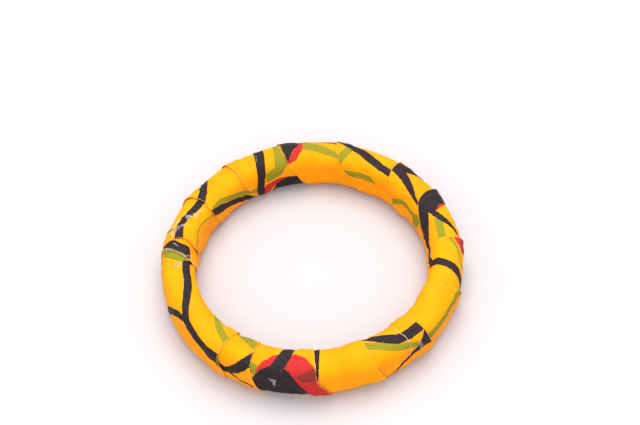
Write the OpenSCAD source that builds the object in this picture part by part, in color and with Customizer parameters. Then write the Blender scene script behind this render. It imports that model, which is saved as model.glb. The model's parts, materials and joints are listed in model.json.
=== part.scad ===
// Bangle bracelet: a rigid wooden ring with a strip of printed cotton wound round it and glued.
// The strip is wound as a helix. Each turn laps over the start of the turn that lies ahead of it
// (towards larger angles), so the ring shows one raw cloth edge for each turn.
// Frame: the ring's axis is Z, the surface it lies on is z = 0, and angles run anticlockwise
// from +X seen from above. Millimetres and degrees.

/* [Ring] */
// Inner diameter over the cloth, which the hand passes through
inner_d = 65; // [45:0.5:90]
// Thickness of the wrapped ring from its inner wall to its outer wall
wall_w = 9.6; // [7:0.1:20]
// Height of the wrapped ring along its axis
ring_h = 12.8; // [9:0.1:40]
// Radius of the four long edges of the wrapped ring, if the wall leaves room for it
edge_r = 4; // [1.6:0.1:6]

/* [Wrap] */
// Thickness of the cloth
cloth_t = 0.28; // [0.15:0.01:0.5]
// How far each turn laps over the start of the next one, along the middle of the ring
lap_len = 3.4; // [1.5:0.1:4.5]
// Length of the step in which a turn climbs onto the next one
step_len = 0.5; // [0.2:0.1:1]
// Air left between one layer of cloth and the layer on top of it
layer_gap = 0.02; // [0.01:0.01:0.05]
// Air left between the step in a turn and the raw start of the next one
butt_gap = 0.08; // [0.04:0.01:0.2]
// Thickness of the dried glue between the wooden ring and the cloth
glue_t = 0.12; // [0.05:0.01:0.3]

/* [Loose threads] */
// Diameter of a loose thread
thread_d = 0.26; // [0.15:0.01:0.3]
// Air between a loose thread and the cloth that it lies on
thread_gap = 0.02; // [0.01:0.01:0.05]
// Length of a loose thread that lies on the flat top of the ring
thread_top = 1.4; // [0.5:0.1:2]
// Length of a loose thread that hangs down the outer wall of the ring
thread_side = 2.2; // [0.5:0.1:4]

/* [Hidden] */

// The exposed raw edge of each turn, as an angle round the ring. The winding is hand-made,
// so the spacing is uneven.
edges = [5, 31.5, 51, 79, 103.5, 128, 152, 174.5, 188, 234, 246, 271, 293, 317, 340];
turns = len(edges);
first_turn = 2;  // where the turns start in NODES

// Where the loose threads cross the top outer edge: two at the frayed end of the strip, and one
// pulled from the raw edge of a turn.
thread_angles = [189.4, 192, 309.3];

inner_r = inner_d / 2;
middle_r = inner_r + wall_w / 2;
outer_r = inner_r + wall_w;

// The edge radius leaves a narrow flat on each side of the ring
least_flat = 0.4;
corner_r = min(edge_r, (wall_w - least_flat) / 2, (ring_h - least_flat) / 2);

// Depths of the surfaces, measured in from the outside of the top layer of cloth
upper_bottom = cloth_t;
lower_top = cloth_t + layer_gap;
lower_bottom = 2 * cloth_t + layer_gap;
core_top = lower_bottom + glue_t;

// Lengths along the middle of the ring, as angles
function around(length) = length / middle_r * 180 / PI;
lap = around(lap_len);
step = around(step_len);
butt = around(butt_gap);

// How far a cutting shape runs past what it cuts, in degrees along the ring and in mm outwards
overcut = 1;

ring_fn = 180;
edge_fn = 48;
thread_fn = 24;

// A rectangle with round corners, centred
module rounded_rect(x, y, r) {
    square([x - 2 * r, y], center = true);
    square([x, y - 2 * r], center = true);
    for (i = [-1, 1]) {
        for (j = [-1, 1]) {
            translate([i * (x / 2 - r), j * (y / 2 - r)]) circle(r, $fn = edge_fn);
        }
    }
}

// The ring's cross-section at a depth below the outside of the cloth
module section(depth) {
    translate([middle_r, ring_h / 2])
        rounded_rect(wall_w - 2 * depth, ring_h - 2 * depth, corner_r - depth);
}

// A stretch of a section round the ring, between two angles
module sector(from, to) {
    rotate([0, 0, from])
        rotate_extrude(angle = to - from, $fn = ring_fn)
            children();
}

// A stretch of hollow skin round the ring, between two angles and two depths
module skin(from, to, top, bottom) {
    sector(from, to)
        difference() {
            section(top);
            section(bottom);
        }
}

// The wooden ring inside
module core_ring() {
    color("burlywood")
        rotate_extrude($fn = ring_fn) section(core_top);
}

// The dried glue that holds the cloth to the wood
module glue_layer() {
    color("ivory")
        rotate_extrude($fn = ring_fn)
            difference() {
                section(lower_bottom);
                section(core_top);
            }
}

// One turn of the cloth strip. Its start lies on the glue under the turn before it, and its end
// climbs a short step and lies on the start of the turn after it. It is cut from a skin of both
// layers: the upper layer is cut off its start, and the lower layer from under its end.
module wrap_turn(i) {
    before = i == 0 ? edges[turns - 1] - 360 : edges[i - 1];
    start = before - lap;
    climb = edges[i] - lap - butt;
    color(i % 2 == 0 ? "gold" : "goldenrod")
        difference() {
            skin(start, edges[i], 0, lower_bottom);
            skin(start - overcut, climb - step, -overcut, lower_top);
            sector(climb, edges[i] + overcut) section(upper_bottom);
        }
}

// Threads that have come loose from the weave and lie over the top outer edge of the ring
module loose_threads() {
    depth = lower_top - thread_gap - thread_d / 2;
    bend_r = corner_r - depth;
    color("white")
        for (angle = thread_angles) {
            rotate([0, 0, angle])
                translate([outer_r - corner_r, 0, ring_h - corner_r])
                    rotate([90, 0, 0]) {
                        rotate_extrude(angle = 90, $fn = ring_fn)
                            translate([bend_r, 0]) circle(d = thread_d, $fn = thread_fn);
                        translate([0, bend_r, 0])
                            rotate([0, -90, 0])
                                cylinder(h = thread_top, d = thread_d, $fn = thread_fn);
                        translate([bend_r, 0, 0])
                            rotate([90, 0, 0])
                                cylinder(h = thread_side, d = thread_d, $fn = thread_fn);
                    }
        }
}

core_ring();
glue_layer();
for (i = [0 : turns - 1]) {
    wrap_turn(i);
}
loose_threads();
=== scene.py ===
"""Bangle bracelet wound with printed cotton: the looks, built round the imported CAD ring.

The cloth is taken to be one strip wound as a helix. A place on the wrapped ring is given by two
numbers: an angle round the ring, in degrees anticlockwise from +X seen from above, and a length s
in mm round the ring's cross-section, from the middle of its underside up the inner wall, over the
top and down the outer wall. Lengths are in millimetres until a mesh is made, which is in metres.
"""
import json
import math

import bpy
import numpy as np
from mathutils import Matrix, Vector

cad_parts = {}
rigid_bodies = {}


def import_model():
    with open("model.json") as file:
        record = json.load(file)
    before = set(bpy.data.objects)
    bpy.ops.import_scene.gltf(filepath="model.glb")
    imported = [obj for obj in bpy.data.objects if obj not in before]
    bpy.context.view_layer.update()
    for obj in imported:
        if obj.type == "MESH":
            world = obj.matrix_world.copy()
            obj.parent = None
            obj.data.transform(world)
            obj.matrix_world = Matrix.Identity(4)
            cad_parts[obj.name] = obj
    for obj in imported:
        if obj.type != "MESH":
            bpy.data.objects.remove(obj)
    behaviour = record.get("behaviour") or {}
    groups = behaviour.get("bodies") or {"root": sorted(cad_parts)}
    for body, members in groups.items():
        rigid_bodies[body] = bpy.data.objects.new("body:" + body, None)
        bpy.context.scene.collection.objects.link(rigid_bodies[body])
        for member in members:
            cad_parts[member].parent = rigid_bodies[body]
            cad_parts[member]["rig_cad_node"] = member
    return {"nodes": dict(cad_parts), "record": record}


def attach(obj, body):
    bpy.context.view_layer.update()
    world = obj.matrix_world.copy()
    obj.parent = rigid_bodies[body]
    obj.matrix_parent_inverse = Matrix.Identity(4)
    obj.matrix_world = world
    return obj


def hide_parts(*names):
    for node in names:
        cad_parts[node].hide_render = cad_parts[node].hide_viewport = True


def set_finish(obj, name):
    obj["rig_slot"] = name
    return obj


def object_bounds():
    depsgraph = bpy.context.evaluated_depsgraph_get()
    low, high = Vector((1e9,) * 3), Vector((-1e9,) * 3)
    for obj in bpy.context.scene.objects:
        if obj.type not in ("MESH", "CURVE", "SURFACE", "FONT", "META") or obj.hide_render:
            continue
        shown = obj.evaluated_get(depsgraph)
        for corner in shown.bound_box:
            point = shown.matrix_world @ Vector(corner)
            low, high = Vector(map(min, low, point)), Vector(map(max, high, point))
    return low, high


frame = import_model()
cad_low, cad_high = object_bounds()

MM = 0.001
FULL = 2 * math.pi
FAR = 50.0     # a distance in mm that is further than any ink reaches
TINY = 1e-9

# ---------------------------------------------------------------- the ring's shape

mounts = {m["name"]: m for m in frame["record"]["mounts"]}
INNER_R = mounts["wrist_bore"]["dims"]["r_mm"]
HEIGHT = cad_high[2] / MM
OUTER_R = max(cad_high[0], cad_high[1], -cad_low[0], -cad_low[1]) / MM
WALL = OUTER_R - INNER_R
MIDDLE_R = (INNER_R + OUTER_R) / 2
CORNER_R = 4.0

# the lengths of the section's straight and round stretches, from the middle of the underside
HALF_FLAT = WALL / 2 - CORNER_R
SIDE = HEIGHT - 2 * CORNER_R
QUARTER = math.pi * CORNER_R / 2
WALL_UP = [QUARTER, SIDE, QUARTER]
STRETCHES = np.cumsum([0, HALF_FLAT, *WALL_UP, 2 * HALF_FLAT, *WALL_UP, HALF_FLAT])
ROUND_IT = STRETCHES[-1]

# the real ring is a little out of round: shares of its radius, by how often they repeat
OVAL_2 = 0.0162
LOBE_3_COS = 0.0026
LOBE_3_SIN = -0.006

CLOTH = 0.28     # thickness of the cloth
LOWER = -0.14    # the outside of a layer that lies on the glue, from the CAD ring's outside
UPPER = 0.24     # the outside of a layer that lies on the next turn
LAP = 5.2        # how far a turn lies over the next one, in degrees
LONG_LAPS = {7: 8.0}   # the turns that lie further over the next one, which shows little of itself
LAP_SHARE = 0.6  # the most of the next turn's width that a lap takes
RAMP = 3.2       # the slope in which a turn climbs onto the next one, in degrees
DEGREE = math.radians(1) * MIDDLE_R   # the length of one degree along the middle of the ring


def section(s):
    """The section's point (x outwards from its middle, z) and outward normal at each length s."""
    s = np.mod(np.asarray(s, float), ROUND_IT)
    part = np.clip(np.searchsorted(STRETCHES, s, side="right") - 1, 0, len(STRETCHES) - 2)
    t = s - STRETCHES[part]
    bend = t / CORNER_R
    a, r = HALF_FLAT, CORNER_R
    c, n = np.cos(bend), np.sin(bend)
    zero, one = np.zeros_like(s), np.ones_like(s)
    side = WALL / 2 * one
    rising = [zero, r - r * c, r + t, HEIGHT - r + r * n]
    falling = [HEIGHT - r + r * c, HEIGHT - r - t, r - r * n, zero]
    x = np.choose(part, [-t, -a - r * n, -side, -a - r * c, t - a, a + r * n, side, a + r * c, a - t])
    z = np.choose(part, [*rising, HEIGHT * one, *falling])
    nx = np.choose(part, [zero, -n, -one, -c, zero, n, one, c, zero])
    nz = np.choose(part, [-one, -c, zero, n, one, c, zero, -n, -one])
    return x, z, nx, nz


def ring_radius(angle):
    """The radius of the middle of the ring's wall, which is slightly out of round."""
    a = np.radians(angle)
    lobes = LOBE_3_COS * np.cos(3 * a) + LOBE_3_SIN * np.sin(3 * a)
    return MIDDLE_R * (1 + OVAL_2 * np.sin(2 * a) + lobes)


def place(angle, s, out, lowest=0.0):
    """Points in metres, at a height out above the CAD ring's outside and no lower than the floor."""
    x, z, nx, nz = section(s)
    a = np.radians(angle)
    r = ring_radius(angle) + x + nx * out
    return np.stack([r * np.cos(a), r * np.sin(a), np.maximum(z + nz * out, lowest)], -1) * MM


# ---------------------------------------------------------------- the seams

# Each row is one exposed raw edge of the strip: its angle at each of these lengths round the
# section. Below the first and past the last, the edge runs on under the ring to its neighbour.
STATIONS = (6, 10, 14, 18, 22, 26, 30)
SEAMS = [
    (-6, -1, 3.2, 4.8, 5, 6.2, 9.5),
    (3, 12, 25.5, 31, 31.6, 32.5, 36),
    (43.5, 45, 48.3, 51, 51.3, 52.5, 56.5),
    (67, 70.5, 75.5, 78.8, 79.5, 81, 85),
    (93.5, 98.3, 101.8, 103.3, 103.8, 105, 109),
    (119, 125, 127.8, 128.2, 128.8, 130, 134),
    (146.5, 150, 152.4, 151.3, 151.6, 153, 157),
    (167, 175, 177.5, 174.2, 175.5, 177, 179.5),
    (179, 184.5, 187.3, 182.8, 179.5, 178.6, 182),
    (226, 231, 234.3, 234, 233.8, 234.2, 236),
    (238.5, 243.5, 245.3, 245.8, 246.4, 247.4, 248.7),
    (261, 267, 269.9, 270.4, 270.9, 271.6, 275),
    (283, 289, 291.6, 292.3, 292.9, 294.2, 296.8),
    (307, 313, 316.4, 316.8, 317.2, 318, 320),
    (330, 336, 338.8, 339.3, 339.8, 342.5, 346),
]
TURNS = len(SEAMS)
RAW_END = 8   # the seam at which the strip ends, cut across and frayed


def curve(x, xs, ys):
    """A smooth curve through points, whose slope at each point is that between its neighbours."""
    xs, ys = np.asarray(xs, float), np.asarray(ys, float)
    slope = np.gradient(ys, xs)
    i = np.clip(np.searchsorted(xs, x, side="right") - 1, 0, len(xs) - 2)
    w = xs[i + 1] - xs[i]
    t = np.clip((x - xs[i]) / w, 0, 1)
    return (
        ys[i] * (2 * t**3 - 3 * t**2 + 1) + ys[i + 1] * (3 * t**2 - 2 * t**3)
        + slope[i] * w * (t**3 - 2 * t**2 + t) + slope[i + 1] * w * (t**3 - t**2)
    )


def seam_row(k):
    """Seam k's angles, for any whole k: the list repeats each time round the ring."""
    laps, i = divmod(k, TURNS)
    return [angle + 360 * laps for angle in SEAMS[i]]


def underside(k):
    """Where, under the middle of the ring, seam k - 1 runs into seam k."""
    return (seam_row(k - 1)[-1] + seam_row(k)[0]) / 2


def seam(k, s):
    """The angle of seam k at each length s."""
    return curve(s, (0, *STATIONS, ROUND_IT), (underside(k), *seam_row(k), underside(k + 1)))


def lap(k, s):
    """How far turn k lies over the next one, in degrees: less where turn k is narrow."""
    return np.minimum(LONG_LAPS.get(k % TURNS, LAP), LAP_SHARE * (seam(k, s) - seam(k - 1, s)))


def smooth(x):
    x = np.clip(x, 0, 1)
    return x * x * (3 - 2 * x)


# ---------------------------------------------------------------- the cloth's relief

rng = np.random.default_rng(7)
WAVE_COUNT = 22
WAVES_AROUND = (20, 110)
WAVES_ABOUT = (-5, 6)
WAVE_HEIGHT = (0.006, 0.018)
# gentle waves all over: (turns round the ring, turns round the section, phase, height)
WAVES = [
    (
        int(rng.integers(*WAVES_AROUND)),
        int(rng.integers(*WAVES_ABOUT)),
        rng.uniform(0, FULL),
        rng.uniform(*WAVE_HEIGHT),
    )
    for _ in range(WAVE_COUNT)
]
# folds and creases: from (angle, s) to (angle, s), height, half-width
CREASES = [
    (53, 8, 60.5, 14, 0.10, 0.35),
    (60.5, 14, 63.5, 16.2, 0.07, 0.35),
    (206.5, 13.5, 210, 18, 0.14, 0.5),
    (203, 21, 196, 25, 0.06, 0.6),
    (280, 15, 285, 20.5, 0.09, 0.45),
    (332, 15, 337, 20, 0.08, 0.5),
    (294.3, 22, 298, 30, 0.10, 0.35),
    (168, 8.5, 177, 13.6, 0.16, 0.4),
    (140, 15, 146, 8, 0.05, 0.5),
    (110, 14, 104, 8, 0.05, 0.5),
    (88, 16, 84, 7, 0.05, 0.6),
    (189, 17.5, 183, 24, 0.08, 0.5),
    (222, 26, 226, 31, 0.07, 0.5),
    (258, 14, 256, 9, 0.06, 0.5),
    (18, 8, 12, 5, 0.08, 0.5),
    (38, 13.5, 32, 9, 0.05, 0.5),
    (296.2, 15, 300.5, 29, 0.07, 0.3),
    (298.4, 16, 303, 27, 0.05, 0.3),
    (284, 14, 290, 24, 0.05, 0.5),
    (322, 14.5, 329, 21, 0.07, 0.5),
    (326, 21, 333, 29, 0.06, 0.6),
    (-14, 15, -6, 20, 0.06, 0.5),
    (92, 6, 101, 13.5, 0.07, 0.4),
    (64, 8, 72, 14, 0.08, 0.4),
    (134, 17, 141, 22, 0.05, 0.5),
    (189, 24, 197, 30, 0.07, 0.5),
    (212, 15, 218, 20, 0.06, 0.5),
    (237, 19, 242, 24, 0.05, 0.4),
]
# where a raw edge stands off the next turn: (seam, middle s, half-length, height)
LIFTS = [
    (14, 26, 3.5, 0.55),
    (13, 28.5, 3.2, 0.6),
    (12, 29, 4, 0.3),
    (11, 28, 4, 0.2),
    (1, 23, 4, 0.25),
    (2, 20, 4, 0.15),
    (5, 22, 4, 0.22),
    (6, 21, 5, 0.28),
    (7, 15, 4, 0.3),
    (8, 18, 5, 0.25),
    (9, 26, 4, 0.22),
    (0, 22, 4, 0.25),
]
EDGE_LIFT = 0.05     # how far every raw edge stands up
LIFT_RUN = 3.2       # how far back from the edge a lift starts, in degrees
FLAT = 0.22          # how far a turn of usual width is pulled flat between its seams
USUAL = 24           # that usual width, in degrees
FLATTEST = 0.75      # the most that FLAT grows to on a wide turn
ROUND_INSIDE = 0.35  # the inner wall stays round, and the pull sets in from this slope of the surface
CREASE_REACH = 30    # a crease further from a turn's middle than this is on another turn


def relief(k, angle, s):
    """The height of the outside of turn k above the CAD ring's outside."""
    low, high = seam(k - 1, s), seam(k, s)
    climb = high - lap(k, s) - RAMP
    out = LOWER + (UPPER - LOWER) * smooth((angle - climb) / RAMP)
    across = np.clip((angle - low) / (high - low), 0, 1)
    width = (high - low) / USUAL
    _, _, nx, _ = section(s)
    pull = FLAT * np.minimum(width**2, FLATTEST) * np.clip(nx + ROUND_INSIDE, 0, 1)
    out = out - pull * 4 * across * (1 - across)
    for around, about, phase, height in WAVES:
        turned = around * np.radians(angle) + about * FULL * s / ROUND_IT
        out = out + height * np.cos(turned + phase)
    for a1, s1, a2, s2, height, half in CREASES:
        if abs((a1 + a2) / 2 - float(np.mean(low + high)) / 2) >= CREASE_REACH:
            continue
        dist, along = to_line(angle, s, (a1, s1), (a2, s2))
        ends = smooth(3 * along) * smooth(3 * (1 - along))
        out = out + height * np.exp(-(dist / half) ** 2) * ends
    near_edge = smooth((angle - high + LIFT_RUN) / LIFT_RUN) ** 2
    out = out + EDGE_LIFT * near_edge
    for i, middle, half, height in LIFTS:
        if i == k % TURNS:
            out = out + height * near_edge * np.exp(-((s - middle) / half) ** 2)
    return out


# ---------------------------------------------------------------- the print

def to_line(angle, s, start, end):
    """Distance in mm from each place to a straight line, and how far along it the nearest point is."""
    x, y = (angle - start[0]) * DEGREE, s - start[1]
    dx, dy = (end[0] - start[0]) * DEGREE, end[1] - start[1]
    along = np.clip((x * dx + y * dy) / max(dx * dx + dy * dy, TINY), 0, 1)
    return np.hypot(x - along * dx, y - along * dy), along


def stroke(*points):
    """A painted line through (angle, s, half-width) points, as a signed distance in mm."""
    def distance(angle, s):
        best = np.full(np.shape(angle), FAR)
        for (a1, s1, w1), (a2, s2, w2) in zip(points, points[1:]):
            dist, along = to_line(angle, s, (a1, s1), (a2, s2))
            best = np.minimum(best, dist - (w1 + (w2 - w1) * along))
        return best
    return distance


def patch(*points):
    """A painted area with straight sides between (angle, s) corners, as a signed distance in mm."""
    def distance(angle, s):
        best = np.full(np.shape(angle), FAR)
        inside = np.zeros(np.shape(angle), bool)
        for (a1, s1), (a2, s2) in zip(points, points[1:] + points[:1]):
            best = np.minimum(best, to_line(angle, s, (a1, s1), (a2, s2))[0])
            if s1 != s2:
                crosses = (s1 > s) != (s2 > s)
                inside ^= crosses & (angle < a1 + (s - s1) * (a2 - a1) / (s2 - s1))
        return np.where(inside, -best, best)
    return distance


# glue_film marks the dried glue; its pale colour below is partly the glue and partly a painted sheen
BLACK, GREEN, RED, GLUE, SHADE = "ink_black", "ink_green", "ink_red", "glue_film", "ink_shade"
INKS = (BLACK, GREEN, RED, GLUE, SHADE)

# the print on each turn: turn k lies between seam k - 1 and seam k
PRINT = {
    0: [
        (BLACK, stroke(
            (-15.5, 27, 1.1), (-13, 24.6, 1.2), (-10.5, 21.8, 1.25), (-8.6, 18.8, 1.25),
            (-7.4, 16, 1.3), (-7.8, 13.6, 1.2),
        )),
        (BLACK, stroke((-7.8, 13.6, 1.2), (-3, 12.6, 0.9), (3, 13.2, 0.8))),
        (GREEN, stroke((-8, 24.5, 0.5), (-2, 22.4, 0.5), (4.6, 19.9, 0.5))),
        (RED, patch((-1.5, 23.6), (4.9, 20.7), (6, 26), (1, 26))),
        (SHADE, patch((-1.6, 24.2), (3, 22.9), (5.6, 23.4), (6.4, 26.4), (0, 26.4))),
        (BLACK, stroke((-6, 31, 0.9), (0, 33, 1.2), (8, 34.5, 1.1))),
    ],
    1: [
        (BLACK, patch(
            (20.5, 17), (25, 15.6), (30.3, 15.6), (33, 19), (34, 26.5), (28, 29), (25, 26),
            (23.4, 20.6), (21, 18.8),
        )),
        (BLACK, stroke(
            (21.5, 17.6, 1.0), (17.5, 18.8, 1.0), (13, 20.8, 0.8), (9, 22.6, 0.5), (6, 23.6, 0.3),
        )),
        (BLACK, stroke(
            (4, 11.6, 1.0), (8, 11.8, 1.4), (14, 12.6, 2.0), (20, 14.5, 1.7), (26, 16, 1.2),
        )),
        (RED, stroke((21.6, 18.9, 0.6), (23.4, 21, 0.85), (24.8, 23, 0.85), (26.4, 25.6, 0.8))),
        (GREEN, patch((4.5, 16.5), (17.5, 17), (15.5, 19.3), (4.5, 18.9))),
        (BLACK, stroke((29, 28, 2.0), (34, 33, 1.6), (36, 38, 1.2))),
    ],
    2: [
        (BLACK, stroke(
            (24, 14.6, 0.3), (28, 15.2, 0.4), (33, 15.8, 0.6), (38, 16.9, 1.05), (44, 18.3, 1.35),
            (51.5, 19.4, 1.6),
        )),
        (BLACK, stroke(
            (52, 20.2, 1.5), (46, 21.4, 1.5), (41, 23.6, 1.3), (37, 27, 1.2), (36, 31, 1.0),
        )),
        (GREEN, patch(
            (20.5, 12.9), (24.5, 7.5), (28.3, 6.8), (29.6, 9.5), (27.3, 11.6), (24, 13.8),
        )),
        (GREEN, stroke(
            (27, 11, 1.0), (32, 10.7, 0.8), (36, 11.3, 1.0), (39.5, 10.8, 1.0), (43, 9.5, 1.0),
            (45, 8, 1.0),
        )),
    ],
    3: [
        (BLACK, stroke(
            (50, 16.8, 1.15), (56, 17.1, 1.2), (62, 18.2, 1.35), (68, 20.0, 1.35),
            (74, 21.6, 1.45), (80, 23.6, 1.4),
        )),
        (GREEN, patch((55.2, 10.8), (71.2, 10.9), (73.4, 12.9), (59, 13.1))),
        (GREEN, stroke((77.4, 14.6, 1.3), (74.8, 17.4, 1.35), (72.8, 20.2, 1.2))),
    ],
    4: [
        (GREEN, stroke(
            (77.5, 16.6, 0.85), (83, 17.7, 1.35), (88, 19.0, 1.6), (93, 20.4, 1.9),
            (98, 22.4, 2.0),
        )),
        (RED, stroke((80, 21.8, 0.9), (86.5, 22.8, 0.9))),
        (RED, stroke((102.2, 14.6, 0.4), (98.6, 16.2, 1.1), (95.8, 18.8, 1.0), (94.6, 23, 0.7))),
        (BLACK, patch(
            (102.3, 14.7), (103.6, 18), (105, 26), (100, 28.5), (95, 26), (95.8, 20.3),
            (98.7, 18.1),
        )),
    ],
    5: [
        (BLACK, patch(
            (92.6, 2.0), (94.4, 5.6), (97.8, 9.4), (103.6, 9.4), (108.6, 7.8), (110.6, 5.4),
            (111.5, 2.0),
        )),
        (RED, stroke(
            (102, 9.2, 0.4), (106, 9.2, 0.75), (110, 8.3, 1.15), (113.6, 7.0, 1.7),
            (116, 4.0, 1.7),
        )),
        (GREEN, patch(
            (101.8, 14.9), (106.3, 10.7), (114.2, 9.4), (114.4, 13.2), (109, 14.4), (107.6, 19),
            (106.4, 24), (104.4, 22), (103.6, 17.2),
        )),
        (BLACK, stroke(
            (118.5, 3, 1.5), (118, 7, 1.55), (117.4, 11, 1.55), (116, 15.5, 1.5),
            (114, 19.5, 1.45), (112.8, 24, 1.5), (112, 29, 1.2),
        )),
        (GREEN, stroke((120.4, 8.8, 1.0), (124, 8.2, 1.2), (128, 9.5, 1.0))),
        (GLUE, stroke((116.2, 18.2, 0.07), (115.2, 20.4, 0.1))),
    ],
    6: [
        (BLACK, stroke(
            (121.5, 4.5, 0.9), (126, 7.2, 1.05), (133, 8.8, 1.15), (140, 10.2, 1.2),
            (146, 11.8, 1.5), (152.5, 13.4, 1.1),
        )),
        (GREEN, stroke(
            (122.5, 8.6, 0.9), (130, 10.5, 0.95), (137, 12.1, 0.95), (144, 13.9, 0.8),
            (150, 14.4, 0.4),
        )),
        (BLACK, stroke((138, 25.5, 1.0), (142, 22, 1.15), (146.5, 19.6, 1.15), (152.5, 18, 1.25))),
        (BLACK, stroke((138, 25.5, 1.0), (137, 30, 1.1), (140, 35, 1.0))),
    ],
    7: [
        (BLACK, stroke(
            (150.5, 18.2, 1.2), (157, 18.6, 1.1), (163, 19.8, 1.0), (168, 19.9, 1.0),
            (176, 19.1, 1.3),
        )),
        (GREEN, stroke(
            (152.5, 12.5, 0.35), (158, 13.8, 0.35), (164, 14.6, 0.35), (170, 14.3, 0.35),
            (178, 13, 0.35),
        )),
        (GREEN, stroke((169.8, 21.4, 0.7), (169, 26, 0.9), (171, 31, 0.9))),
        (GLUE, stroke((159, 17.9, 0.35), (162, 19.2, 0.5), (160, 20.6, 0.2))),
        (GLUE, stroke((166.5, 18.9, 0.4), (168.5, 20.3, 0.45), (171.5, 20.9, 0.3))),
        (GLUE, stroke((154, 16.4, 0.2), (157.5, 17.2, 0.2), (161, 17, 0.2))),
        (GLUE, stroke((164, 21.4, 0.3), (171, 21.9, 0.3), (174, 21, 0.2))),
    ],
    8: [
        (BLACK, patch(
            (178.4, 15.7), (185, 15.3), (186, 17), (183.5, 19.5), (181, 23), (177.6, 23.6),
            (175.4, 21.6), (175.3, 20.3), (177.2, 18.4),
        )),
        (GLUE, stroke((178.8, 18.8, 0.16), (177.2, 20.4, 0.2))),
    ],
    9: [
        (GREEN, patch(
            (184.5, 16.2), (187.6, 16.8), (186, 19.6), (182.8, 23.4), (178, 24.6), (178, 21),
            (181, 18),
        )),
        (BLACK, stroke(
            (186.6, 15.3, 0.6), (187.6, 16.4, 1.15), (191, 16.6, 1.2), (196, 16.6, 1.2),
            (201, 17.3, 1.2), (206, 18.8, 1.1), (211, 20.9, 1.05), (215, 22.7, 1.1),
            (221, 23.7, 1.1), (225, 24.6, 1.25), (228, 25.1, 1.5), (231, 25.4, 1.8),
            (236, 25.9, 2.3),
        )),
        (BLACK, stroke((183.5, 14.4, 0.4), (187, 14.7, 0.5))),
        (BLACK, stroke(
            (214, 22.9, 0.6), (209.5, 23.8, 0.95), (205.5, 26, 1.1), (202.5, 28.6, 1.1),
            (200, 31.5, 1.0), (199, 36, 0.9),
        )),
        (GREEN, stroke(
            (216, 10.5, 1.0), (219.5, 13.4, 1.0), (224, 16, 1.0), (228.5, 18, 1.0),
            (235, 20, 1.15),
        )),
        (GLUE, stroke((215.4, 24.1, 0.12), (215.9, 23.4, 0.14), (216.8, 23.4, 0.12))),
        (GLUE, stroke((188.3, 18.2, 0.3), (189.6, 19.1, 0.3))),
    ],
    10: [
        (BLACK, stroke(
            (233.5, 27.6, 1.2), (236.6, 28.7, 1.05), (239.6, 27.4, 1.25), (242.6, 24.8, 1.35),
            (247.5, 20.6, 1.5),
        )),
        (BLACK, stroke((238, 29, 0.4), (242, 30, 0.35), (248, 31, 0.3))),
        (GREEN, stroke((231, 12.8, 1.1), (236.5, 14.6, 1.3), (241, 16.2, 1.4), (247, 17.8, 1.3))),
    ],
    11: [
        (GREEN, patch((245, 21.9), (249.6, 22.4), (250.4, 24.2), (248.4, 25.6), (246, 25))),
        (RED, patch(
            (248.6, 24.4), (250.4, 21.2), (253.4, 18.9), (257, 17.7), (262.5, 17.5), (266.6, 18.7),
            (270.2, 21.4), (273, 26), (280, 31), (276, 34), (264, 33), (258, 24),
        )),
        (BLACK, patch(
            (247.3, 28.4), (248.8, 25.2), (251.2, 23), (254, 21.8), (258.4, 21.8), (261, 22.8),
            (263.2, 25), (265.2, 28.2), (268, 31.2), (266, 34), (256, 35.5), (249, 34), (249, 31),
        )),
        (BLACK, stroke((260.6, 9, 1.5), (260.2, 13, 1.65), (258.9, 17, 1.65), (256.6, 21.8, 1.7))),
        (GLUE, patch((253.6, 26.0), (256.6, 26.3), (256.2, 28.2), (255.7, 30.2), (255.2, 28.0))),
        (SHADE, patch((263.4, 24.2), (268.6, 22), (272, 21.6), (272.6, 25.2), (266.4, 25.8))),
    ],
    12: [
        (BLACK, patch(
            (268.8, 11), (274, 11), (273, 15.5), (272.3, 20), (271.7, 25.8), (270.6, 25.8),
            (270, 18),
        )),
    ],
    13: [
        (BLACK, stroke(
            (290, 13.2, 0.6), (294, 15.2, 0.8), (297.5, 16.6, 1.2), (301.5, 18.4, 1.45),
            (306, 20.3, 1.45), (311, 21.0, 1.4), (318.5, 20.9, 1.45),
        )),
        (GREEN, stroke(
            (291, 17.5, 1.25), (297, 19.5, 1.2), (302, 21.5, 1.2), (307, 23.3, 1.1),
            (311.5, 24.6, 0.9), (315, 25.4, 0.5),
        )),
        (BLACK, patch(
            (302.2, 31), (305, 29.2), (308.5, 27.5), (312.5, 25.2), (316.5, 22.7), (318.2, 22.7),
            (318.6, 27.5), (312, 28.1), (306.5, 29.7), (303.2, 31.4),
        )),
        (GLUE, patch((312.4, 24.8), (313.6, 24.4), (315, 27.3), (313.4, 28.2))),
        (BLACK, stroke((303, 31.2, 0.3), (298, 34, 0.7), (294, 38, 1.0))),
    ],
    14: [
        (GREEN, stroke(
            (316, 25.9, 1.4), (324, 26.0, 1.4), (331, 25.7, 1.3), (337, 25.0, 1.2),
            (344, 24.5, 1.1),
        )),
    ],
}


FIRST_SEED = 100
ON_TOP = 20.0                  # a length s on the top of the ring
BACK_ENDS = 178                # the turns up to this angle are at the back
UNSEEN_AT_BACK = (29.5, 37.0)  # the middles of the unseen lines there, on the outer wall and below
UNSEEN_IN_FRONT = (1.0, 8.5)   # and in front, below and on the inner wall
OVERRUN = 0.35                 # how far a line runs on past its turn, as a share of the turn's width
GREEN_BESIDE = 2.3             # from the middle of a black line to that of the green beside it, in mm
UNPRINTED = 9.0                # the distance that is stored where no ink is near


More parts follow.
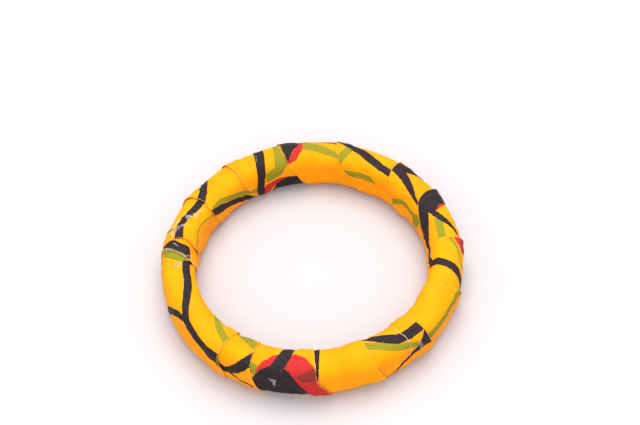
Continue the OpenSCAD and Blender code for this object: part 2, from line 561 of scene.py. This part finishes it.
def hidden_print(k):
    """The print out of sight of the front: long curved lines from seam to seam, each black one with
    a green one beside it, as on the part that shows."""
    draw = np.random.default_rng(FIRST_SEED + k)
    low, high = (float(seam(j, np.array(ON_TOP))) for j in (k - 1, k))
    centres = UNSEEN_AT_BACK if (low + high) / 2 < BACK_ENDS else UNSEEN_IN_FRONT
    made = []
    for i, centre in enumerate(centres):
        slope = draw.uniform(1.2, 3.2) * (1 if (k + i) % 2 else -1)
        bow = draw.uniform(-1.3, 1.3)
        wide = draw.uniform(0.85, 1.35)
        points, beside = [], []
        for f in np.linspace(-OVERRUN, 1 + OVERRUN, 9):
            at = low + (high - low) * f
            mid = centre + slope * (f - 0.5) + bow * (1 - 4 * (f - 0.5) ** 2)
            swell = 0.75 + 0.35 * math.sin(math.pi * np.clip(f, 0, 1))
            points.append((at, mid, wide * swell))
            beside.append((at, mid - GREEN_BESIDE, 0.62 + 0.25 * f))
        made.append((BLACK, stroke(*points)))
        made.append((GREEN, stroke(*beside)))
    if k % 4 == 2:
        at, s = low + 0.55 * (high - low), centres[0] + 3.6
        corners = ((-5, 0), (0, -1.2), (6, 0.2), (4, 2.6), (-4, 2.2))
        made.append((RED, patch(*((at + da, s + ds) for da, ds in corners))))
    return made


HIDDEN = [hidden_print(k) for k in range(TURNS)]


def print_on(k, angle, s):
    """Each ink's signed distance on turn k. The strip runs on from the end of one turn to the next."""
    found = {ink: np.full(np.shape(angle), UNPRINTED) for ink in INKS}
    for step in (-1, 0, 1):
        laps, i = divmod(k + step, TURNS)
        for ink, distance in PRINT[i] + HIDDEN[i]:
            d = distance(angle - 360 * laps, s - step * ROUND_IT)
            found[ink] = np.minimum(found[ink], d)
    return found


# ---------------------------------------------------------------- meshes

def new_object(name, points, faces, smooth_faces=True):
    mesh = bpy.data.meshes.new(name)
    mesh.from_pydata([tuple(p) for p in points], [], [tuple(f) for f in faces])
    mesh.validate()
    if smooth_faces:
        mesh.polygons.foreach_set("use_smooth", [True] * len(mesh.polygons))
    obj = bpy.data.objects.new(name, mesh)
    bpy.context.scene.collection.objects.link(obj)
    return obj


def grid_faces(rows, columns, start=0, flip=False):
    """The four-sided faces of a grid of points, numbered row by row from start."""
    i, j = np.meshgrid(np.arange(rows - 1), np.arange(columns - 1), indexing="ij")
    here = (i * columns + j).ravel() + start
    quad = np.stack([here, here + 1, here + columns + 1, here + columns], -1)
    return quad[:, ::-1] if flip else quad


CELL = 0.36        # the size of a cell of the cloth's mesh
FRAY = 0.10        # how far the raw edge wanders, in mm
FRAY_WAVES = ((11, 0.3, 0.5), (29, 1.1, 0.35), (61, 2.3, 0.35))   # (turns round the section, phase, share)
FRAY_SHIFT = 1.7   # how the phases move on from turn to turn
WORN = 0.05        # how much thinner the cloth is along its raw edge, in mm
THINNEST = 0.05    # the cloth's least thickness where the ring presses it on the floor, in mm
MAP_MARGIN = 0.01  # the free margin of the map for baking, and the shares of its two parts
MAP_LENGTH = 0.98
MAP_OUTSIDE = 0.76
MAP_INSIDE = 0.2   # the inside of the cloth is mapped at this share of the outside's size
MAP_INSIDE_FROM = 0.79


def make_turn(k):
    """One turn of the strip, as a closed mesh with the cloth's thickness."""
    rows = int(ROUND_IT / CELL) + 1
    s = np.linspace(0, ROUND_IT, rows)[:, None]
    start = seam(k - 1, s) - lap(k - 1, s)
    end = seam(k, s)
    widest = float((end - start).max()) * DEGREE
    columns = int(widest / CELL) + 1
    u = np.linspace(0, 1, columns)[None]
    wander = FRAY / DEGREE * sum(
        h * np.sin(n * FULL * s / ROUND_IT + p + FRAY_SHIFT * k)
        for n, p, h in FRAY_WAVES
    ) * np.sin(math.pi * s / ROUND_IT) ** 0.5
    angle = start + (end + wander - start) * u
    s = s + 0 * u
    out = relief(k, angle, s)
    top = place(angle, s, out - WORN * (u > 1 - TINY))
    low = place(angle, s, out - CLOTH, THINNEST)
    points = np.concatenate([top.reshape(-1, 3), low.reshape(-1, 3)])
    n = rows * columns
    faces = [grid_faces(rows, columns, flip=True), grid_faces(rows, columns, n)]
    rim = np.concatenate([
        np.arange(columns), np.arange(1, rows) * columns + columns - 1,
        (rows - 1) * columns + np.arange(columns - 2, -1, -1), np.arange(rows - 2, 0, -1) * columns,
    ])
    after = np.roll(rim, -1)
    faces.append(np.stack([rim, after, after + n, rim + n], -1))
    faces = np.concatenate(faces)
    piece = new_object(f"printed_wrap_{k + 1:02d}", points, faces)
    mesh = piece.data

    inks = print_on(k, angle, s)
    for ink, distance in inks.items():
        values = np.concatenate([distance.ravel(), distance.ravel()])
        mesh.attributes.new(ink, "FLOAT", "POINT").data.foreach_set("value", values)
    from_edge = ((end - angle) * DEGREE).ravel()
    from_edge = np.concatenate([from_edge] * 2)
    mesh.attributes.new("from_edge", "FLOAT", "POINT").data.foreach_set("value", from_edge)

    # one map in millimetres for the weave, and one that packs both sides of the cloth for baking
    corner = np.empty(len(mesh.loops), int)
    mesh.loops.foreach_get("vertex_index", corner)
    across = (u * widest + 0 * s).ravel()
    flat = np.stack([np.concatenate([across] * 2), np.concatenate([s.ravel()] * 2)], -1)
    mesh.uv_layers.new(name="cloth_mm").data.foreach_set("uv", flat[corner].ravel())
    length = s.ravel() / ROUND_IT * MAP_LENGTH + MAP_MARGIN
    breadth = (u + 0 * s).ravel() * MAP_OUTSIDE + MAP_MARGIN
    share = np.stack([length, breadth], -1)
    below = share * (1, MAP_INSIDE) + (0, MAP_INSIDE_FROM)
    packed = np.concatenate([share, below])
    mesh.uv_layers.new(name="OFBake").data.foreach_set("uv", packed[corner].ravel())

    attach(piece, "root")
    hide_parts(f"wrap_turn_{k + 1:02d}")
    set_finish(piece, "printed_cotton")
    return piece


HOOP_ROWS = 240
HOOP_CELL = 0.8
WOOD_DEPTH = 1.4
GLUE_DEPTH = 1.2


def make_hoop(name, depth, node, slot):
    """A closed hoop that follows the ring's shape at a depth below the CAD ring's outside."""
    rows, columns = HOOP_ROWS, int(ROUND_IT / HOOP_CELL)
    angle = np.linspace(0, 360, rows, endpoint=False)[:, None]
    s = np.linspace(0, ROUND_IT, columns, endpoint=False)[None]
    points = place(angle, s, -depth + 0 * angle * s)
    i, j = np.meshgrid(np.arange(rows), np.arange(columns), indexing="ij")
    a, b = (i + 1) % rows, (j + 1) % columns
    faces = np.stack([i * columns + j, a * columns + j, a * columns + b, i * columns + b], -1)
    piece = new_object(name, points.reshape(-1, 3), faces.reshape(-1, 4)[:, ::-1])
    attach(piece, "root")
    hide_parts(node)
    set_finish(piece, slot)
    return piece


def surface(k, angle, s, above):
    """A point at a height above the outside of turn k, in metres."""
    a, t = np.atleast_1d(np.asarray(angle, float)), np.atleast_1d(np.asarray(s, float))
    return place(a, t, relief(k, a, t) + above)


SIDES = 6                      # the sides of a thread's cross-section
TIP = 0.35                     # a thread's thickness at its end, as a share of the rest
ACROSS = (0.31, 0.22, 0.93)    # a direction that no thread runs along


def tubes(name, lines):
    """One mesh of thin round threads. Each line is (points in metres, radius in mm)."""
    points, faces, first = [], [], 0
    for line, radius in lines:
        line = np.asarray(line, float)
        ahead = np.gradient(line, axis=0)
        ahead /= np.linalg.norm(ahead, axis=1, keepdims=True)
        side = np.cross(ahead, ACROSS)
        side /= np.linalg.norm(side, axis=1, keepdims=True)
        other = np.cross(ahead, side)
        turn = np.linspace(0, FULL, SIDES, endpoint=False)[None, :, None]
        taper = np.ones(len(line))
        taper[-1] = TIP
        ring = np.cos(turn) * side[:, None] + np.sin(turn) * other[:, None]
        points.append((line[:, None] + ring * (radius * MM * taper)[:, None, None]).reshape(-1, 3))
        count = len(line)
        for i in range(count - 1):
            here = first + i * SIDES
            for j in range(SIDES):
                n = (j + 1) % SIDES
                faces.append([here + j, here + n, here + SIDES + n, here + SIDES + j])
        faces.append([first + j for j in reversed(range(SIDES))])
        faces.append([first + (count - 1) * SIDES + j for j in range(SIDES)])
        first += count * SIDES
    piece = new_object(name, np.concatenate(points), faces)
    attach(piece, "root")
    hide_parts("loose_threads")
    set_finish(piece, "raw_thread")
    return piece


def thread_line(k, stops, steps):
    """A smooth line over turn k through (angle, s, height above the cloth) stops."""
    at = np.linspace(0, len(stops) - 1, steps)
    angle, s, above = (curve(at, range(len(stops)), [p[i] for p in stops]) for i in range(3))
    return surface(k, angle, s, above)


PULLED_TURN = 13
PULLED_STOPS = [(308, 16, 0.1), (308.2, 19, 0.16), (309, 21, 0.2), (309, 24, 0.16), (308.5, 28, 0.1)]
PULLED_RADIUS = 0.085
FRAYED_COUNT = 46
FRAYED_RADIUS = (0.03, 0.055)
LONG_RADIUS = 0.06


def make_threads():
    """The thread pulled from one raw edge, and the frayed end of the strip."""
    tubes("pulled_thread", [(thread_line(PULLED_TURN, PULLED_STOPS, 26), PULLED_RADIUS)])
    frayed = []
    for _ in range(FRAYED_COUNT):
        s = rng.uniform(5, ROUND_IT - 4)
        root = float(seam(RAW_END, np.array(s)))
        long = rng.uniform(0.5, 1.7)
        lean = rng.uniform(-0.6, 0.9)
        rise = rng.uniform(0.02, 0.3)
        stops = [
            (root - 0.5, s, 0.45),
            (root + 0.5 * long, s + 0.4 * lean, 0.42 + rise),
            (root + long, s + lean, 0.12 + rise),
        ]
        frayed.append((thread_line(RAW_END + 1, stops, 6), rng.uniform(*FRAYED_RADIUS)))
    for start, middle, end in (
        ((185.6, 16.3, 0.45), (182.6, 18.6, 0.6), (180.4, 21.4, 0.4)),
        ((184.6, 16.6, 0.5), (181.4, 20, 0.5), (179, 23.2, 0.35)),
        ((186.4, 15.2, 0.4), (184.4, 15.6, 0.75), (183.6, 17.2, 0.4)),
        ((187.6, 17.6, 0.2), (189, 18.8, 0.35), (190.4, 20.6, 0.12)),
        ((187.2, 17.6, 0.2), (188.4, 19.6, 0.3), (188.2, 21, 0.12)),
    ):
        frayed.append((thread_line(RAW_END + 1, [start, middle, end], 12), LONG_RADIUS))
    tubes("frayed_end_threads", frayed)


# ---------------------------------------------------------------- materials

class Nodes:
    """A material's nodes, written as short calls."""

    def __init__(self, name):
        self.material = bpy.data.materials.new(name)
        self.material.use_nodes = True
        self.tree = self.material.node_tree
        self.shader = self.tree.nodes["Principled BSDF"]

    def add(self, kind, inputs=None, **settings):
        node = self.tree.nodes.new(kind)
        for key, value in settings.items():
            setattr(node, key, value)
        for key, value in (inputs or {}).items():
            self.put(node.inputs[key], value)
        return node

    def put(self, socket, value):
        if isinstance(value, bpy.types.NodeSocket):
            self.tree.links.new(value, socket)
        else:
            socket.default_value = value

    def math(self, operation, a, b=0.0):
        return self.add("ShaderNodeMath", {0: a, 1: b}, operation=operation).outputs[0]

    def blend(self, amount, under, over):
        node = self.add("ShaderNodeMix", {0: amount, 6: under, 7: over}, data_type="RGBA")
        return node.outputs[2]

    def mix(self, amount, under, over):
        node = self.add("ShaderNodeMix", {0: amount, 2: under, 3: over}, data_type="FLOAT")
        return node.outputs[0]

    def noise(self, where, scale, detail=2.0):
        inputs = {"Vector": where, "Scale": scale, "Detail": detail}
        return self.add("ShaderNodeTexNoise", inputs).outputs["Fac"]

    def ramp(self, value, low, high):
        inputs = {"Value": value, "From Min": low, "From Max": high}
        return self.add("ShaderNodeMapRange", inputs).outputs["Result"]

    def bump(self, height, distance, strength=1.0, under=None):
        inputs = {"Height": height, "Distance": distance, "Strength": strength}
        if under is not None:
            inputs["Normal"] = under
        return self.add("ShaderNodeBump", inputs).outputs["Normal"]


YELLOW = (0.88, 0.325, 0.002, 1)
DEEP_YELLOW = (0.86, 0.270, 0.001, 1)
BLACK_INK = (0.022, 0.016, 0.018, 1)
BROWN_INK = (0.045, 0.03, 0.03, 1)
GREEN_INK = (0.108, 0.205, 0.016, 1)
RED_INK = (0.48, 0.026, 0.023, 1)
# the glue film's pale colour: partly the dried glue, partly a painted sheen standing in for its gloss
GLUE_WHITE_AND_SHEEN = (0.50, 0.48, 0.52, 1)
# the raw edge's pale colour: partly the paler cut fibres, partly a painted highlight along the raised edge
RAW_EDGE_AND_HIGHLIGHT = (0.80, 0.56, 0.16, 1)
THREAD_WHITE = (0.66, 0.58, 0.36, 1)
THREAD_SHADE = (0.52, 0.42, 0.20, 1)
WOOD_PALE = (0.50, 0.30, 0.13, 1)
WOOD_DARK = (0.36, 0.20, 0.08, 1)
GLUE_PALE = (0.80, 0.76, 0.64, 1)
GLUE_DARK = (0.66, 0.62, 0.52, 1)
FLOOR_A = (0.532, 0.508, 0.520, 1)
FLOOR_B = (0.538, 0.515, 0.527, 1)
RIB_PITCH = 0.62          # the spacing of the fine lines the green is printed in, in mm
THREAD_PITCH = 0.36       # the spacing of the cloth's threads, in mm
WAVE_UNIT = 20 / FULL   # a wave texture at scale 1 repeats this often per unit
# the scales of the noise, per metre: fine for an ink's edge, coarse for the dye and the gloss
EDGE_NOISE = 1700
FILM_NOISE = 1500
WORN_NOISE = 900
RUMPLE_NOISE = 420
GLOSS_NOISE = 220
DYE_NOISE = 210
EDGE_ROUGHNESS = 0.55   # how far an ink's edge wanders, in mm
SHADE_AMOUNT = 0.6
RAW_EDGE_AND_HIGHLIGHT_AMOUNT = 0.4
FILM_AMOUNT = 0.62
CLOTH_ROUGHNESS = 0.62
INK_ROUGHNESS = 0.5
POLISHED_ROUGHNESS = 0.36
FILM_ROUGHNESS = 0.2


def printed_cotton():
    """The strip's cloth: yellow dye, the inks, the glue film over it with a painted sheen in its pale
    colour, a pale raw edge with a painted highlight, and a plain weave.
    """
    n = Nodes("printed_cotton")
    where = n.add("ShaderNodeTexCoord").outputs["Object"]
    cloth = n.add("ShaderNodeUVMap", uv_map="cloth_mm").outputs["UV"]
    wander = n.math("SUBTRACT", n.noise(where, EDGE_NOISE, 3.0), 0.5)
    rough_edge = n.math("MULTIPLY", wander, EDGE_ROUGHNESS)

    def ink(name, soft=0.07):
        distance = n.add("ShaderNodeAttribute", attribute_name=name).outputs["Fac"]
        return n.ramp(n.math("ADD", distance, rough_edge), soft, -soft)

    def wave(pitch, bands, distortion=0.0):
        inputs = {"Vector": cloth, "Scale": 1 / (pitch * WAVE_UNIT), "Distortion": distortion}
        return n.add("ShaderNodeTexWave", inputs, bands_direction=bands).outputs["Fac"]

    colour = n.blend(n.ramp(n.noise(where, DYE_NOISE, 5.0), 0.36, 0.68), YELLOW, DEEP_YELLOW)
    rib = wave(RIB_PITCH, "X", 1.2)
    ribbed = n.math("SUBTRACT", 0.98, n.math("MULTIPLY", rib, 0.34))
    colour = n.blend(n.math("MULTIPLY", ink(GREEN, 0.16), ribbed), colour, GREEN_INK)
    colour = n.blend(ink(RED), colour, RED_INK)
    worn = n.ramp(n.noise(where, WORN_NOISE, 4.0), 0.5, 0.75)
    colour = n.blend(n.math("MULTIPLY", ink(SHADE, 0.25), SHADE_AMOUNT), colour, BROWN_INK)
    black = ink(BLACK)
    colour = n.blend(black, colour, n.blend(worn, BLACK_INK, BROWN_INK))
    # a pale line along each raw edge: partly the paler cut fibres, partly a painted highlight where the
    # raised edge catches the light
    from_edge = n.add("ShaderNodeAttribute", attribute_name="from_edge").outputs["Fac"]
    raw_edge_and_highlight = n.ramp(n.math("ADD", from_edge, rough_edge), 0.2, 0.02)
    colour = n.blend(n.math("MULTIPLY", raw_edge_and_highlight, RAW_EDGE_AND_HIGHLIGHT_AMOUNT), colour, RAW_EDGE_AND_HIGHLIGHT)
    # the glue film: a smoother surface, and a pale colour that is partly the glue and partly a painted
    # sheen
    film = ink(GLUE, 0.12)
    patchy = n.ramp(n.noise(where, FILM_NOISE), 0.35, 0.6)
    film = n.math("MULTIPLY", n.math("MULTIPLY", film, patchy), FILM_AMOUNT)
    colour = n.blend(film, colour, GLUE_WHITE_AND_SHEEN)
    n.put(n.shader.inputs["Base Color"], colour)

    weave = n.math("MAXIMUM", wave(THREAD_PITCH, "X"), wave(THREAD_PITCH, "Y"))
    normal = n.bump(weave, 0.00005, 0.5)
    normal = n.bump(n.noise(where, RUMPLE_NOISE, 4.0), 0.0002, 0.6, normal)
    n.put(n.shader.inputs["Normal"], normal)
    gloss = n.mix(black, CLOTH_ROUGHNESS, INK_ROUGHNESS)
    gloss = n.mix(n.ramp(n.noise(where, GLOSS_NOISE), 0.58, 0.72), gloss, POLISHED_ROUGHNESS)
    n.put(n.shader.inputs["Roughness"], n.mix(film, gloss, FILM_ROUGHNESS))
    n.put(n.shader.inputs["Specular IOR Level"], 0.06)
    return n.material


def core_wood():
    """The plain wood inside."""
    n = Nodes("core_wood")
    where = n.add("ShaderNodeTexCoord").outputs["Object"]
    inputs = {"Vector": where, "Scale": 60.0, "Distortion": 6.0, "Detail": 3.0}
    grain = n.add("ShaderNodeTexWave", inputs).outputs["Fac"]
    colour = n.blend(grain, WOOD_PALE, WOOD_DARK)
    n.put(n.shader.inputs["Base Color"], colour)
    n.put(n.shader.inputs["Roughness"], 0.6)
    n.put(n.shader.inputs["Normal"], n.bump(grain, 0.00005, 0.4))
    return n.material


def dried_glue():
    """The cloudy glue under the cloth."""
    n = Nodes("dried_glue")
    where = n.add("ShaderNodeTexCoord").outputs["Object"]
    cloud = n.noise(where, 300, 4.0)
    n.put(n.shader.inputs["Base Color"], n.blend(cloud, GLUE_PALE, GLUE_DARK))
    n.put(n.shader.inputs["Roughness"], n.ramp(cloud, -1.0, 3.0))
    n.put(n.shader.inputs["Normal"], n.bump(cloud, 0.0001, 0.6))
    return n.material


def raw_thread():
    """Undyed cotton thread."""
    n = Nodes("raw_thread")
    where = n.add("ShaderNodeTexCoord").outputs["Object"]
    twist = n.noise(where, 2600)
    n.put(n.shader.inputs["Base Color"], n.blend(twist, THREAD_WHITE, THREAD_SHADE))
    n.put(n.shader.inputs["Roughness"], 0.75)
    n.put(n.shader.inputs["Normal"], n.bump(twist, 0.00005, 0.5))
    return n.material


def pale_floor():
    """A plain pale floor."""
    n = Nodes("pale_floor")
    where = n.add("ShaderNodeTexCoord").outputs["Object"]
    n.put(n.shader.inputs["Base Color"], n.blend(n.noise(where, 8), FLOOR_A, FLOOR_B))
    n.put(n.shader.inputs["Roughness"], 0.85)
    n.put(n.shader.inputs["Specular IOR Level"], 0.1)
    return n.material


# ---------------------------------------------------------------- build

make_hoop("wood_core", WOOD_DEPTH, "core_ring", "core_wood")
make_hoop("glue_coat", GLUE_DEPTH, "glue_layer", "dried_glue")
for number in range(TURNS):
    make_turn(number)
make_threads()

SHARP_FROM = 50    # the angle in degrees from which an edge of the cloth shows as sharp
FINISHES = {
    "printed_cotton": printed_cotton(),
    "core_wood": core_wood(),
    "dried_glue": dried_glue(),
    "raw_thread": raw_thread(),
}
NODE_SLOTS = {part["node"]: part["material_slot"] for part in frame["record"]["subparts"]}
for node_name, cad_node in frame["nodes"].items():
    cad_node.data.materials.clear()
    cad_node.data.materials.append(FINISHES[NODE_SLOTS[node_name]])
for shown in bpy.context.scene.objects:
    if "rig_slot" in shown and shown.type == "MESH" and "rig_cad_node" not in shown:
        shown.data.materials.append(FINISHES[shown["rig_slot"]])
    if shown.name.startswith("printed_wrap"):
        shown.data.set_sharp_from_angle(angle=math.radians(SHARP_FROM))

FLOOR_HALF = 3.0
FLOOR_DROP = -0.00003   # just clear of the cloth that rests on it
floor = new_object(
    "floor",
    [
        (x * FLOOR_HALF, y * FLOOR_HALF, FLOOR_DROP)
        for x, y in ((-1, -1), (1, -1), (1, 1), (-1, 1))
    ],
    [(0, 1, 2, 3)],
    smooth_faces=False,
)
floor.data.materials.append(pale_floor())

# ---------------------------------------------------------------- light

def softbox(name, at, size, power):
    """A round white softbox that faces the middle of the ring."""
    data = bpy.data.lights.new(name, "AREA")
    data.shape = "DISK"
    data.size = size
    data.energy = power
    lamp = bpy.data.objects.new(name, data)
    bpy.context.scene.collection.objects.link(lamp)
    lamp.location = at
    lamp.rotation_euler = (-lamp.location).to_track_quat("-Z", "Y").to_euler()


softbox("overhead", (0.03, 0.27, 0.90), 0.85, 8.2)
softbox("front_fill", (-0.10, -0.70, 0.66), 0.8, 3.0)

STUDIO_WHITE = (1.0, 0.985, 0.99, 1)
STUDIO_STRENGTH = 1.06
world = bpy.data.worlds.new("studio")
world.use_nodes = True
background = world.node_tree.nodes["Background"]
background.inputs["Color"].default_value = STUDIO_WHITE
background.inputs["Strength"].default_value = STUDIO_STRENGTH
bpy.context.scene.world = world
bpy.context.scene.view_settings.view_transform = "Standard"

# ---------------------------------------------------------------- camera

ELEVATION = 52.49      # degrees above the floor
DISTANCE = 0.4237      # from the centre of the ring's underside
TILT_UP = 2.43         # the ring lies below the middle of the frame
TURN_RIGHT = 0.30
ROLL = -0.45
LENS = 84.0            # in mm, on a sensor 36 mm wide
SENSOR = 36.0

lens_data = bpy.data.cameras.new("camera")
lens_data.lens = LENS
lens_data.sensor_width = SENSOR
lens_data.clip_start = 0.01
lens_data.clip_end = 20.0
camera = bpy.data.objects.new("camera", lens_data)
bpy.context.scene.collection.objects.link(camera)
rise = math.radians(ELEVATION)
aim = Matrix.Rotation(math.pi / 2 - rise, 4, "X")
aim = aim @ Matrix.Rotation(-math.radians(TURN_RIGHT), 4, "Y")
aim = aim @ Matrix.Rotation(math.radians(TILT_UP), 4, "X")
aim = aim @ Matrix.Rotation(math.radians(ROLL), 4, "Z")
stand = Matrix.Translation((0, -DISTANCE * math.cos(rise), DISTANCE * math.sin(rise)))
camera.matrix_world = stand @ aim
bpy.context.scene.camera = camera
